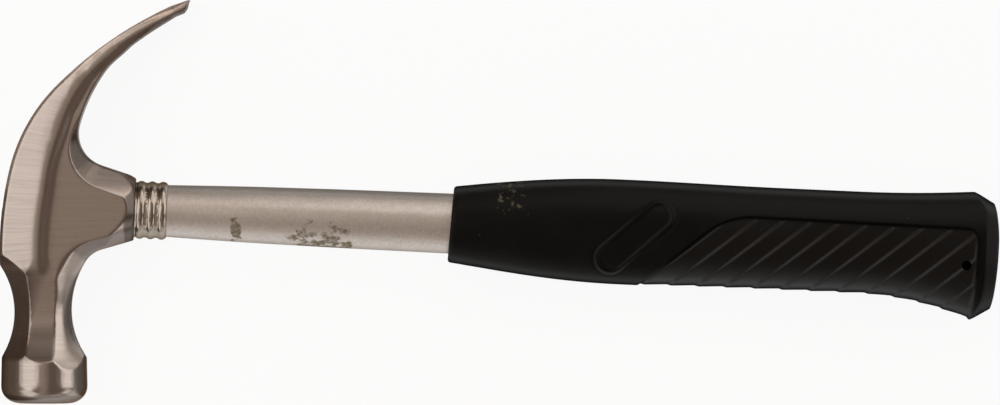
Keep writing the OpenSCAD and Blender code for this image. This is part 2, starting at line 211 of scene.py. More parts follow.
def newGroup(name, inputs, outputs):
    group = bpy.data.node_groups.new(name, "ShaderNodeTree")
    for socketName, kind, value in inputs:
        socket = group.interface.new_socket(name=socketName, in_out="INPUT", socket_type="NodeSocket" + kind)
        if value is not None:
            socket.default_value = value
    for socketName, kind in outputs:
        group.interface.new_socket(name=socketName, in_out="OUTPUT", socket_type="NodeSocket" + kind)
    return group, group.nodes.new("NodeGroupInput").outputs, group.nodes.new("NodeGroupOutput").inputs


def useGroup(tree, group, vector, settings):
    return addNode(tree, "Group", {"Vector": vector, **settings}, node_tree=group).outputs[0]


# grinding lines: quick across the first direction, long in the other two
lineLook = {"fine": (1.0, 3.0, 0.6), "fineShare": 0.75, "broad": (1.0, 2.0), "broadShare": 0.25,
            "broadStretch": (0.22, 0.5, 0.5), "span": (0.32, 0.68)}
grindLines, inside, outside = newGroup(
    "grindLines",
    [("Vector", "Vector", None), ("Across", "Float", 5.0), ("Along", "Float", 0.1)],
    [("Lines", "Float")],
)
stretch = addNode(grindLines, "CombineXYZ", {"X": inside["Across"], "Y": inside["Along"], "Z": inside["Along"]})
fineVector = addVector(grindLines, "MULTIPLY", inside["Vector"], stretch.outputs[0])
broadVector = addVector(grindLines, "MULTIPLY", fineVector, lineLook["broadStretch"])
broadLines = allOf(grindLines, addNoise(grindLines, broadVector, *lineLook["broad"]), lineLook["broadShare"])
fineLines = addNoise(grindLines, fineVector, *lineLook["fine"])
summed = addMath(grindLines, "MULTIPLY_ADD", fineLines, lineLook["fineShare"], broadLines)
grindLines.links.new(addRange(grindLines, summed, *lineLook["span"], soft=False), outside["Lines"])

# grime: broken patches, from a threshold on noise
grime, inside, outside = newGroup(
    "grime",
    [("Vector", "Vector", None), ("Scale", "Float", 1.0), ("Bare", "Float", 0.55), ("Blend", "Float", 0.1)],
    [("Mask", "Float")],
)
patches = addNoise(grime, inside["Vector"], inside["Scale"], detail=6.0, roughness=0.62)
patchEdge = addMath(grime, "ADD", inside["Bare"], inside["Blend"])
grime.links.new(addRange(grime, patches, inside["Bare"], patchEdge), outside["Mask"])


def newMaterial(name, metallic):
    material = bpy.data.materials.new(name)
    material.use_nodes = True
    tree = material.node_tree
    shader = tree.nodes["Principled BSDF"]
    shader.inputs["Metallic"].default_value = metallic
    where = addNode(tree, "TexCoord").outputs["Object"]
    place = addNode(tree, "VectorMath", {0: where, "Scale": 1 / mm}, operation="SCALE").outputs[0]  # millimetres
    return material, tree, shader, place


def addBump(tree, shader, height, strength, depth):
    bump = addNode(tree, "Bump", {"Height": height, "Strength": strength, "Distance": depth * mm})
    tree.links.new(bump.outputs[0], shader.inputs["Normal"])


# ground steel of the head: lines fan across the cheek and claw, and run round the bell; the flanks and other faces
# turned from the lamps are darker with painted shade, and the claw's back faces turned to the left lamps get a painted
# highlight
# a turn is a range of the surface's direction, the other pairs are places, and a third and fourth number give the share
steelLook = {
    "light": (0.445, 0.392, 0.357, 1), "dark": (0.385, 0.334, 0.302, 1), "stain": (0.20, 0.155, 0.12, 1),
    # flank is a painted shade colour, and worn is a painted highlight colour
    "flank": (0.045, 0.037, 0.031, 1), "edge": (0.42, 0.36, 0.32, 1), "worn": (0.92, 0.85, 0.79, 1),
    "fanCentre": (150, 62, 0), "fanReach": 150.0, "bellTop": (31, 37), "lines": {"Across": 3.0, "Along": 0.06},
    "stains": {"Scale": 0.09, "Bare": 0.56, "Blend": 0.2}, "stainShare": 0.22,
    "pits": {"Scale": 1.3, "Bare": 0.66, "Blend": 0.05}, "pitShare": 0.3, "rough": (0.27, 0.22), "bump": (0.08, 0.03),
    "flankTurn": (0.62, 0.80, 0.0, 0.86), "flankTop": (48, 40), "underTurn": (-0.45, -0.65, 0.0, 0.4),
    "bevelTurn": (0.92, 0.82), "bevelTop": (68, 73), "rootTurn": (0.40, 0.60, 0.62, 0.84), "spineTurn": (0.45, 0.75),
    "socketEnd": (25.6, 27.0), "endTurn": (0.25, 0.5, 0.0, 0.8), "neckHigh": (46, 42.5), "neckLow": (13, 15.5),
    "leftTurn": (-0.12, -0.36, 0.0, 0.42), "footTurn": (0.06, 0.32, 0.0, 0.5), "footSide": (0.45, 0.30),
    "footTop": (31, 25), "frontShadeAt": (5.6, 20), "frontShadeSlope": 0.27, "frontShadeFade": (1.15, 0.0, 0.0, 0.72),
    "frontShadeFrom": (21.5, 26), "frontShadeTurn": (-0.72, -0.45),
}
headSteel, tree, shader, place = newMaterial("groundSteel", 1.0)
shader.inputs["Specular Tint"].default_value = steelLook["edge"]
fanned = addSplit(tree, addVector(tree, "SUBTRACT", place, steelLook["fanCentre"]))
turn = addMath(tree, "ARCTAN2", fanned["Y"], addMath(tree, "MULTIPLY", fanned["X"], -1.0))
fan = addNode(tree, "CombineXYZ", {"X": addMath(tree, "MULTIPLY", turn, steelLook["fanReach"]), "Y": fanned["X"],
                                   "Z": fanned["Z"]})
spot, facing = addSplit(tree, place), addFacing(tree)
ring = addNode(tree, "CombineXYZ", {"X": spot["Y"], "Y": spot["X"], "Z": spot["Z"]})
onBody = addRange(tree, spot["Y"], *steelLook["bellTop"])
grainPlace = addNode(tree, "Mix", {0: onBody, 4: ring.outputs[0], 5: fan.outputs[0]}, data_type="VECTOR").outputs[1]
headLines = useGroup(tree, grindLines, grainPlace, steelLook["lines"])
stains = useGroup(tree, grime, place, steelLook["stains"])
pits = useGroup(tree, grime, place, steelLook["pits"])
# painted shade on the right flanks, the undersides, the claw root, the socket end and the neck
flank = allOf(tree, addRange(tree, facing["X"], *steelLook["flankTurn"]),
              addRange(tree, spot["Y"], *steelLook["flankTop"]))
under = addRange(tree, facing["Y"], *steelLook["underTurn"])
bevel = allOf(tree, addRange(tree, addMath(tree, "ABSOLUTE", facing["Z"]), *steelLook["bevelTurn"]),
              addRange(tree, spot["Y"], *steelLook["bevelTop"]))
backward = addMath(tree, "SUBTRACT", facing["Y"], facing["X"])
# painted highlight: tilted claw faces turned back towards the left lamps
spineHighlight = allOf(tree, bevel, addRange(tree, backward, *steelLook["spineTurn"]))
root = allOf(tree, addMath(tree, "SUBTRACT", bevel, spineHighlight), addRange(tree, facing["X"], *steelLook["rootTurn"]))
socketEnd = allOf(tree, addRange(tree, spot["X"], *steelLook["socketEnd"]),
                  addRange(tree, facing["X"], *steelLook["endTurn"]))
neck = allOf(tree, addRange(tree, spot["Y"], *steelLook["neckHigh"]), addRange(tree, spot["Y"], *steelLook["neckLow"]))
leftSide = allOf(tree, neck, addRange(tree, facing["X"], *steelLook["leftTurn"]))
neckFoot = allOf(tree, neck, addRange(tree, facing["Y"], *steelLook["footTurn"]),
                 addRange(tree, facing["X"], *steelLook["footSide"]), addRange(tree, spot["Y"], *steelLook["footTop"]))
# painted shade fading across the left of the neck's front
frontShadeHigh = addMath(tree, "SUBTRACT", spot["Y"], steelLook["frontShadeAt"][1])
frontShadeWide = addMath(tree, "MULTIPLY", frontShadeHigh, steelLook["frontShadeSlope"])
frontShadeShare = addMath(tree, "DIVIDE", addMath(tree, "ADD", spot["X"], steelLook["frontShadeAt"][0]), frontShadeWide)
frontShade = allOf(tree, neck, addRange(tree, frontShadeShare, *steelLook["frontShadeFade"], soft=False),
                 addRange(tree, spot["Y"], *steelLook["frontShadeFrom"]), addRange(tree, facing["X"], *steelLook["frontShadeTurn"]))
# all the painted shade masks together take the dark flank colour
paintedShade = anyOf(tree, flank, under, root, socketEnd, leftSide, neckFoot, frontShade)
ground = mixColour(tree, headLines, steelLook["dark"], steelLook["light"])
tarnished = mixColour(tree, allOf(tree, stains, steelLook["stainShare"]), ground, steelLook["stain"])
pitted = mixColour(tree, allOf(tree, pits, steelLook["pitShare"]), tarnished, steelLook["stain"])
# the painted highlight takes the pale worn colour
highlighted = mixColour(tree, spineHighlight, pitted, steelLook["worn"])
tree.links.new(mixColour(tree, paintedShade, highlighted, steelLook["flank"]), shader.inputs["Base Color"])
tree.links.new(addFade(tree, headLines, *steelLook["rough"]), shader.inputs["Roughness"])
addBump(tree, shader, headLines, *steelLook["bump"])

# satin plating of the tube, mottled, with old smears low on its face, and painted shade along its upper side
satinLook = {
    "light": (0.66, 0.615, 0.575, 1), "dark": (0.55, 0.505, 0.465, 1), "edge": (0.4, 0.37, 0.35, 1),
    "dullAndShade": (0.16, 0.145, 0.13, 1), "tubeShadeTurn": (0.70, 0.92, 0.0, 0.75), "mottle": (1.1, 4.0, 0.65),
    "mottleSpan": (0.34, 0.66), "rough": (0.42, 0.36), "bump": (0.12, 0.05),
    "smear": (0.19, 0.158, 0.10, 1), "smearFront": (0.0, 2.0), "smearLift": 0.24, "smearSpan": (0.68, 0.80),
    "smearRough": 0.2, "torn": (0.34, 7.0, 0.6), "thin": (0.8, 4.0, 0.6), "thinSpan": (0.3, 0.6, 0.35, 0.92),
    "nearFrom": (60.6, 62.2), "nearTo": (66.6, 64.8), "nearTop": (62.8, 60.8), "middleFrom": (76.0, 86.0),
    "middleTo": (103.0, 100.5), "middleTop": (63.5, 56.5), "stripFrom": (77.0, 88.0), "stripTurn": (-0.66, -0.82, 0.0, 1.3),
}
shaftSatin, tree, shader, place = newMaterial("satinPlate", 1.0)
shader.inputs["Specular Tint"].default_value = satinLook["edge"]
mottle = addNoise(tree, place, *satinLook["mottle"])
satinMix = addRange(tree, mottle, *satinLook["mottleSpan"], soft=False)
plated = mixColour(tree, satinMix, satinLook["dark"], satinLook["light"])
spot, facing = addSplit(tree, place), addFacing(tree)
nearSmear = allOf(tree, addRange(tree, spot["X"], *satinLook["nearFrom"]), addRange(tree, spot["X"], *satinLook["nearTo"]),
                  addRange(tree, spot["Y"], *satinLook["nearTop"]))
middleEnd = addRange(tree, spot["X"], *satinLook["middleTo"])
middleSmear = allOf(tree, addRange(tree, spot["X"], *satinLook["middleFrom"]), middleEnd,
                    addRange(tree, spot["Y"], *satinLook["middleTop"]))
strip = allOf(tree, addRange(tree, spot["X"], *satinLook["stripFrom"]), middleEnd,
              addRange(tree, facing["Y"], *satinLook["stripTurn"]))
front = addRange(tree, spot["Z"], *satinLook["smearFront"])
smearArea = anyOf(tree, allOf(tree, anyOf(tree, nearSmear, middleSmear), front), strip)
torn = addMath(tree, "MULTIPLY_ADD", smearArea, satinLook["smearLift"], addNoise(tree, place, *satinLook["torn"]))
thin = addRange(tree, addNoise(tree, place, *satinLook["thin"]), *satinLook["thinSpan"])
smear = allOf(tree, addRange(tree, torn, *satinLook["smearSpan"]), thin)
# painted shade: the tube's upper side takes a dark colour
tubeShaded = mixColour(tree, addRange(tree, facing["Y"], *satinLook["tubeShadeTurn"]), plated, satinLook["dullAndShade"])
tree.links.new(mixColour(tree, smear, tubeShaded, satinLook["smear"]), shader.inputs["Base Color"])
satinRough = addFade(tree, satinMix, *satinLook["rough"])
tree.links.new(addMath(tree, "MULTIPLY_ADD", smear, satinLook["smearRough"], satinRough), shader.inputs["Roughness"])
addBump(tree, shader, mottle, *satinLook["bump"])

# bright collar, with painted shade along its upper side
chromeLook = {
    "bright": (0.40, 0.355, 0.305, 1), "dullAndShade": (0.28, 0.24, 0.195, 1), "collarShade": (0.15, 0.118, 0.09, 1),
    "edge": (0.35, 0.31, 0.27, 1), "collarShadeTurn": (0.62, 0.86, 0.0, 0.85),
    "haze": {"Scale": 0.5, "Bare": 0.45, "Blend": 0.3}, "hazeShare": 0.5, "rough": (0.20, 0.27),
}
collarChrome, tree, shader, place = newMaterial("brightPlate", 1.0)
shader.inputs["Specular Tint"].default_value = chromeLook["edge"]
haze = useGroup(tree, grime, place, chromeLook["haze"])
# painted shade on the collar's upper side
collarShaded = addRange(tree, addFacing(tree)["Y"], *chromeLook["collarShadeTurn"])
hazed = mixColour(tree, allOf(tree, haze, chromeLook["hazeShare"]), chromeLook["bright"], chromeLook["dullAndShade"])
tree.links.new(mixColour(tree, collarShaded, hazed, chromeLook["collarShade"]), shader.inputs["Base Color"])
tree.links.new(addFade(tree, haze, *chromeLook["rough"]), shader.inputs["Roughness"])

# black rubber of the grip: a smooth body, and a ribbed panel with a coarser grain
rubberLook = {
    "black": (0.0024, 0.0022, 0.0018, 1), "worn": (0.0044, 0.0040, 0.0033, 1), "panel": (0.0012, 0.0011, 0.0009, 1),
    "handled": {"Scale": 0.06, "Bare": 0.42, "Blend": 0.3}, "handledShare": 0.6, "sideTurn": (0.6, 0.2),
    "dust": (0.13, 0.112, 0.07, 1), "dustFrom": (147.0, 150.0), "dustTo": (162.0, 157.0), "dustLow": (60.0, 63.0),
    "dustFront": (0.0, 3.0), "crumbs": (0.42, 6.0, 0.6), "crumbLift": 0.16, "crumbSpan": (0.70, 0.82, 0.0, 0.6),
    "looseDust": {"Scale": 1.1, "Bare": 0.72, "Blend": 0.05}, "looseShare": 0.3,
    "shine": (0.12, 0.29), "sideShine": (1.0, 0.04), "seamShine": (1.0, 0.06), "rough": (0.36, 0.41),
    "sideRough": 0.3, "dustRough": 0.3, "grain": (2.6, 3.0), "panelGrain": 0.7, "bodyGrain": 0.3, "bump": (0.3, 0.08),
}
gripRubber, tree, shader, place = newMaterial("blackRubber", 0.0)
panel = addNode(tree, "Attribute", attribute_name="panelMask").outputs["Fac"]
seam = addNode(tree, "Attribute", attribute_name="seamMask").outputs["Fac"]
handled = useGroup(tree, grime, place, rubberLook["handled"])
spot, facing = addSplit(tree, place), addFacing(tree)
dustArea = allOf(tree, addRange(tree, spot["X"], *rubberLook["dustFrom"]), addRange(tree, spot["X"], *rubberLook["dustTo"]),
                 addRange(tree, spot["Y"], *rubberLook["dustLow"]), addRange(tree, spot["Z"], *rubberLook["dustFront"]))
crumbs = addMath(tree, "MULTIPLY_ADD", dustArea, rubberLook["crumbLift"], addNoise(tree, place, *rubberLook["crumbs"]))
looseDust = allOf(tree, useGroup(tree, grime, place, rubberLook["looseDust"]), rubberLook["looseShare"])
dust = anyOf(tree, addRange(tree, crumbs, *rubberLook["crumbSpan"]), looseDust)
rubbed = mixColour(tree, allOf(tree, handled, rubberLook["handledShare"]), rubberLook["black"], rubberLook["worn"])
moulded = mixColour(tree, panel, rubbed, rubberLook["panel"])
tree.links.new(mixColour(tree, dust, moulded, rubberLook["dust"]), shader.inputs["Base Color"])
matt = addRange(tree, addMath(tree, "ABSOLUTE", facing["Z"]), *rubberLook["sideTurn"])
shine = allOf(tree, addFade(tree, panel, *rubberLook["shine"]), addFade(tree, matt, *rubberLook["sideShine"]),
              addFade(tree, seam, *rubberLook["seamShine"]))
tree.links.new(shine, shader.inputs["Specular IOR Level"])
rubberRough = addMath(tree, "MULTIPLY_ADD", matt, rubberLook["sideRough"], addFade(tree, handled, *rubberLook["rough"]))
tree.links.new(addMath(tree, "MULTIPLY_ADD", dust, rubberLook["dustRough"], rubberRough), shader.inputs["Roughness"])
grainHeight = addMath(tree, "MULTIPLY_ADD", panel, rubberLook["panelGrain"], rubberLook["bodyGrain"])
addBump(tree, shader, allOf(tree, addNoise(tree, place, *rubberLook["grain"]), grainHeight), *rubberLook["bump"])

# hardwood core, seen end on
woodLook = {"pale": (0.50, 0.33, 0.17, 1), "ring": (0.27, 0.155, 0.07, 1), "rough": 0.7, "ringShare": 0.75,
            "grain": {"Location": (0, -52, 9), "Scale": (0.12, 1, 1)},
            "rings": {"Scale": 0.28, "Distortion": 2.2, "Detail": 2.0},
            "pores": {"Scale": 2.4, "Bare": 0.58, "Blend": 0.08}, "poreShare": 0.5, "bump": (0.3, 0.1)}
coreWood, tree, shader, place = newMaterial("hardwood", 0.0)
shader.inputs["Roughness"].default_value = woodLook["rough"]
grainTurn = addNode(tree, "Mapping", {"Vector": place, **woodLook["grain"]}).outputs[0]
rings = addNode(tree, "TexWave", {"Vector": grainTurn, **woodLook["rings"]}, wave_type="RINGS",
                rings_direction="X").outputs["Fac"]
pores = useGroup(tree, grime, place, woodLook["pores"])
ringed = mixColour(tree, allOf(tree, rings, woodLook["ringShare"]), woodLook["pale"], woodLook["ring"])
tree.links.new(mixColour(tree, allOf(tree, pores, woodLook["poreShare"]), ringed, woodLook["ring"]),
               shader.inputs["Base Color"])
addBump(tree, shader, pores, *woodLook["bump"])

# plain steel of the wedge and moulded plastic of the plug
wedgeLook = {"lines": {"Across": 0.3, "Along": 2.0}, "rough": (0.5, 0.38), "bump": (0.2, 0.05)}
wedgeSteel, tree, shader, place = newMaterial("wedgeSteel", 1.0)
wedgeLines = useGroup(tree, grindLines, place, wedgeLook["lines"])
tree.links.new(mixColour(tree, wedgeLines, steelLook["dark"], steelLook["light"]), shader.inputs["Base Color"])
tree.links.new(addFade(tree, wedgeLines, *wedgeLook["rough"]), shader.inputs["Roughness"])
addBump(tree, shader, wedgeLines, *wedgeLook["bump"])
plugLook = {"dark": (0.03, 0.03, 0.032, 1), "light": (0.05, 0.05, 0.052, 1), "mottle": (1.5, 3.0), "rough": (0.5, 0.6)}
plugPlastic, tree, shader, place = newMaterial("plugPlastic", 0.0)
plugMottle = addNoise(tree, place, *plugLook["mottle"])
tree.links.new(mixColour(tree, plugMottle, plugLook["dark"], plugLook["light"]), shader.inputs["Base Color"])
tree.links.new(addFade(tree, plugMottle, *plugLook["rough"]), shader.inputs["Roughness"])
print("materials made")

# head: the forging, remeshed fine; its long ridge is ground soft, the bell and neck keep their edges
# a pair named From, To or Top is where an effect comes in or goes out, in millimetres above the striking face
headWork = {
    "voxel": 0.46, "smoothing": 0.5, "edgeSteps": 4,
    "steps": {"faces": 6, "ridge": 62, "ridgeEnd": 100, "rim": 14, "neckSide": 50},
    "faceFrom": (38, 46), "tipFrom": (108, 126), "tipShare": 0.3, "spineKeep": (1.2, 3.0), "spineRow": 0.8,
    "rimTop": (4.5, 7),
    # the ridge between cheek and flank, and how far it is moved across
    "ridge": [(-0.6, 42), (-0.2, 50), (0.2, 60), (1.4, 72), (3.4, 85), (7.0, 97), (15.4, 110), (24, 118)],
    "ridgeFrom": (36, 42), "ridgeNear": (3.0, 5.6), "ridgeFar": (1.6, 3.6), "narrowFrom": (72, 96), "narrowLess": 0.66,
    "ridgeShift": 1.7, "ridgeMost": 0.3, "ridgeReach": ((80, 100, 110, 118), (6.0, 5.0, 3.2, 2.2)),
    "ridgeTurn": ((72, 85, 97, 110, 118, 130), (-9, -13, -26, -39, -47, -58)),
    "ridgeShiftFrom": (76, 90), "ridgeShiftTo": (112, 120), "ridgeEnd": (-0.3, 43.5), "endSpan": (2.0, 5.2),
    # the facet along the back of the claw, widened and tilted
    "clawBack": [(12, 111), (18.8, 116.5), (26.7, 121.8), (34.6, 126.7), (41.8, 131.1), (48.4, 133)],
    "clawWide": ((110, 117, 123, 131), (6.0, 5.3, 4.2, 3.2)), "clawShift": 0.2, "clawWay": (0.55, -0.835),
    "clawFrom": (108, 116), "tipTilt": 0.6, "tiltReach": 0.62, "tiltFrom": (104, 116), "tiltSide": (9, 12),
    # the neck's side facet, a little rounded
    "neckHalf": 8.6, "neckBow": 0.0172, "neckWaist": 30.2, "neckFlat": 3.9, "neckRight": 2,
    "bulge": 0.5, "bulgeFrom": (12, 17), "bulgeTo": (48, 40), "sideShare": 1.2, "sideFrom": (13, 17), "sideTo": (54, 47),
}
hammerHead = copyNode("hammer_head", "hammerHead")
hammerHead.data.remesh_voxel_size = headWork["voxel"] * mm
hammerHead.data.remesh_voxel_adaptivity = 0
pick(hammerHead)
bpy.ops.object.voxel_remesh()
applyModifier(hammerHead, "SMOOTH", factor=headWork["smoothing"], iterations=headWork["edgeSteps"])


def weighGroup(piece, name, weights, levels=20):
    group = piece.vertex_groups.new(name=name)
    for level in range(1, levels + 1):
        members = np.where(np.rint(weights * levels) == level)[0]
        group.add(members.tolist(), level / levels, "REPLACE")


def lineGap(points, line):  # distance from a line of points, seen from the front
    line = np.array(line, float)
    gap = np.full(len(points), 99.0)
    for first, last in zip(line[:-1], line[1:]):
        span = last - first
        along = np.clip(((points[:, :2] - first) @ span) / (span @ span), 0, 1)
        gap = np.minimum(gap, np.hypot(*(points[:, :2] - first - along[:, None] * span).T))
    return gap


points = readPoints(hammerHead)
x, y, z = points.T

# which points are smoothed, and how much
ridgeGap = lineGap(points, headWork["ridge"])
tip = 1 - ramp(y, *headWork["tipFrom"])
narrow = ramp(y, *headWork["narrowFrom"])
near, far = [first + (last - first) * narrow for first, last in zip(headWork["ridgeNear"], headWork["ridgeFar"])]
ridgeShare = ramp(y, *headWork["ridgeFrom"]) * tip * (1 - headWork["narrowLess"] * narrow)
weighGroup(hammerHead, "ridge", ease(1 - ramp(ridgeGap, near, far)) * ridgeShare)
rows = np.arange(0, 140)
spineAt = np.array([np.min(x[np.abs(y - row) < headWork["spineRow"]], initial=40) for row in rows])
inward = ramp(x - np.interp(y, rows, spineAt), *headWork["spineKeep"])
faceShare = headWork["tipShare"] + (1 - headWork["tipShare"]) * tip
weighGroup(hammerHead, "faces", ramp(y, *headWork["faceFrom"]) * faceShare * inward)
neckFace = headWork["neckHalf"] + headWork["neckBow"] * (y - headWork["neckWaist"]) ** 2
across = (x - np.abs(z)) / (neckFace - headWork["neckFlat"])
sideShare = ease(np.clip(headWork["sideShare"] - headWork["sideShare"] * across ** 2, 0, 1)) * (x > headWork["neckRight"])
weighGroup(hammerHead, "neckSide", sideShare * ramp(y, *headWork["sideFrom"]) * ramp(y, *headWork["sideTo"]))
endGap = np.hypot(x - headWork["ridgeEnd"][0], y - headWork["ridgeEnd"][1])
weighGroup(hammerHead, "ridgeEnd", ease(1 - ramp(endGap, *headWork["endSpan"])))
weighGroup(hammerHead, "rim", 1 - ramp(y, *headWork["rimTop"]))

# the neck's side swells
swell = np.clip(1 - across ** 2, 0, 1) * (x > headWork["neckRight"])
swell = swell * ramp(y, *headWork["bulgeFrom"]) * ramp(y, *headWork["bulgeTo"])
push = headWork["bulge"] * swell * math.sqrt(0.5)
moved = points + np.stack([push, 0 * push, push * np.sign(z)], 1)

# the claw's facet widens and tilts, while its outer edge stays
clawWide = np.interp(y, *headWork["clawWide"])
share = np.clip(lineGap(points, headWork["clawBack"]) / clawWide, 0, 1)
shift = headWork["clawShift"] * clawWide * 4 * share * (1 - share) * ramp(y, *headWork["clawFrom"]) * inward
moved[:, 0] += headWork["clawWay"][0] * shift
moved[:, 1] += headWork["clawWay"][1] * shift
tilt = headWork["tipTilt"] * np.clip(1 - share / headWork["tiltReach"], 0, 1) * ramp(y, *headWork["tiltFrom"])
moved[:, 2] -= np.sign(z) * (tilt * ramp(np.abs(z), *headWork["tiltSide"]))

# the ridge moves across the claw
reach = np.interp(y, *headWork["ridgeReach"])
shift = np.minimum(headWork["ridgeShift"], headWork["ridgeMost"] * reach)
shift = shift * ramp(y, *headWork["ridgeShiftFrom"]) * (1 - ramp(y, *headWork["ridgeShiftTo"]))
shift = shift * ease(1 - ramp(ridgeGap, 0, reach))
turn = np.radians(np.interp(y, *headWork["ridgeTurn"]))
moved[:, 0] += shift * np.cos(turn)
moved[:, 1] += shift * np.sin(turn)
writePoints(hammerHead, moved)
for groupName, steps in headWork["steps"].items():
    applyModifier(hammerHead, "SMOOTH", factor=headWork["smoothing"], iterations=steps, vertex_group=groupName)
pick(hammerHead)
bpy.ops.object.shade_smooth()
finishPiece(hammerHead, headSteel, "head_steel", "hammer_head")

# collar: its beads are worn low, past this radius
beads = {"from": 10.3, "middle": 10.9, "keep": 0.6}


def softenBeads(piece):
    points = readPoints(piece)
    rake = math.radians(handleAxis["rake"])
    aside = points[:, 0] * math.sin(rake) + (points[:, 1] - handleAxis["height"]) * math.cos(rake)
    radius = np.hypot(aside, points[:, 2])
    worn = np.where(radius > beads["from"], beads["middle"] + beads["keep"] * (radius - beads["middle"]), radius)
    change = aside * (worn / radius - 1)
    points[:, 0] += change * math.sin(rake)
    points[:, 1] += change * math.cos(rake)
    points[:, 2] *= worn / radius
    writePoints(piece, points)


# tube, collar, the filling of the eye and the tube's end plug, from their solids
for nodeName, pieceName, material, slotName, angle in (
    ("shaft_tube", "shaftTube", shaftSatin, "shaft_satin", 30),
    ("neck_collar", "neckCollar", collarChrome, "collar_chrome", 50),
    ("eye_core", "eyeCore", coreWood, "core_wood", 30),
    ("eye_wedge", "eyeWedge", wedgeSteel, "wedge_steel", 30),
    ("tube_end_plug", "tubeEndPlug", plugPlastic, "plug_plastic", 30),
):
    piece = copyNode(nodeName, pieceName)
    if pieceName == "neckCollar":
        softenBeads(piece)
    smoothShade(piece, angle)
    applyModifier(piece, "WEIGHTED_NORMAL", keep_sharp=True)
    finishPiece(piece, material, slotName, nodeName)

# grip: one long tube of rings, from the end of the bore out round the mouth to the butt
gripShape = {
    "start": 134.4, "length": 181.2, "boreRadius": 10.0, "boreEnd": 298.1, "power": 0.88,
    "mouthRadius": 12.35, "mouthLow": 0.4, "mouthRound": 0.9, "mouthLean": 0.045, "leanLong": 11,
    "bellyHigh": 17.35, "bellyWide": 13.5, "bellyLow": 0.25, "swellTo": 0.31, "fallSpan": (0.33, 0.6), "topFall": 0.5,
    "bottomFall": 0.3, "flareFrom": 0.74, "buttUp": 18.275, "buttDown": 24.225, "buttWide": 14.3, "buttLong": 8.7,
    "rimLong": 4.5, "rimBack": 4.0, "backFrom": 0.86, "backPower": 4, "domeBack": 1.5, "dome": 0.7, "domeTurn": 78,
    "bevelIn": (3.6, 3.96, 3.3), "bevelSoft": 0.5, "bevelBefore": 3,
    "around": 96, "mouthRings": 6, "bodyRings": 122, "bevelRings": 12, "domeRings": 10, "weldGap": 0.001,
    "bodyFrom": 2, "bodyTo": 1, "bevelFrom": 0.6, "smoothAngle": 55,
}
ribPanel = {
    "first": 219.1, "run": 1.18, "pitch": (8.86, 0.047), "count": 12, "riser": 1.25, "crest": -0.3, "depth": 0.5,
    "fallFrom": 0.8, "top": (7.0, 6.3), "topSpan": (229, 304), "right": 308.9, "rightBow": 0.003, "left": -1.15,
    "corners": (5.5, 4.5), "inner": (0.0, 1.0), "fade": (0.5, 1.8), "lowSpan": (-11, -16), "lowFade": 0.25,
    "maskSpan": (-0.2, 0.8), "seamAt": 0.4, "seamWide": 0.6, "seamFrom": (-16, -9),
}
lozenge = {"at": (195.2, -1.8), "angle": 43, "straight": 10.6, "radius": 5.3, "bead": 0.34, "beadAt": 0.8,
           "beadWide": 1.3, "floor": -0.1, "floorRun": 1.2, "groove": -0.1, "grooveAt": 0.35, "grooveWide": 0.4}
relief = {"lozengeRoom": -1.8, "panelRoom": -2.6, "cuts": 3, "outside": 11.2, "from": 14, "cutTo": 0.8,
          "fade": (2.0, 0.7), "maskOutside": 11}
cordHole = {"at": (304.8, -6.2), "radius": 1.6, "sides": 40, "long": 60}
gripEnd = gripShape["start"] + gripShape["length"]
rimAt = gripEnd - gripShape["rimLong"]
domeFrom = gripEnd - gripShape["dome"]


def gripBody(u):
    t = (u - gripShape["start"]) / gripShape["length"]
    swell = np.sin(math.pi / 2 * ramp(t, 0, gripShape["swellTo"]))
    flare = ramp(t, gripShape["flareFrom"], 1 - gripShape["buttLong"] / gripShape["length"]) ** 2
    fall = ease(ramp(t, *gripShape["fallSpan"]))
    mouth, belly, low = gripShape["mouthRadius"], gripShape["bellyHigh"], gripShape["mouthLow"]
    top = mouth + (belly - gripShape["bellyLow"] - gripShape["topFall"] * fall - mouth) * swell
    bottom = mouth + low + (belly + gripShape["bellyLow"] - gripShape["bottomFall"] * fall - mouth - low) * swell
    side = mouth + (gripShape["bellyWide"] - mouth) * swell
    return (top + (gripShape["buttUp"] - top) * flare, bottom + (gripShape["buttDown"] - bottom) * flare,
            side + (gripShape["buttWide"] - side) * flare)


def gripRing(u):  # half heights up and down, half width, and how far the ring's ends hang back
    body = gripShape["start"] + gripShape["backFrom"] * gripShape["length"]
    back = gripShape["rimBack"] * ramp(u, body, rimAt) ** 2
    back = back + (gripShape["domeBack"] - gripShape["rimBack"]) * ramp(u, rimAt, domeFrom)
    past = u - rimAt
    bevel = (past + np.sqrt(past ** 2 + gripShape["bevelSoft"] ** 2)) / 2 / (domeFrom - rimAt)
    bevel = np.where(past > -gripShape["bevelBefore"], bevel, 0)
    up, down, _ = gripBody(np.minimum(u, rimAt) - back)
    wide = gripBody(u)[2]
    cut = gripShape["bevelIn"]
    return up - cut[0] * bevel, down - cut[1] * bevel, wide - cut[2] * bevel, back


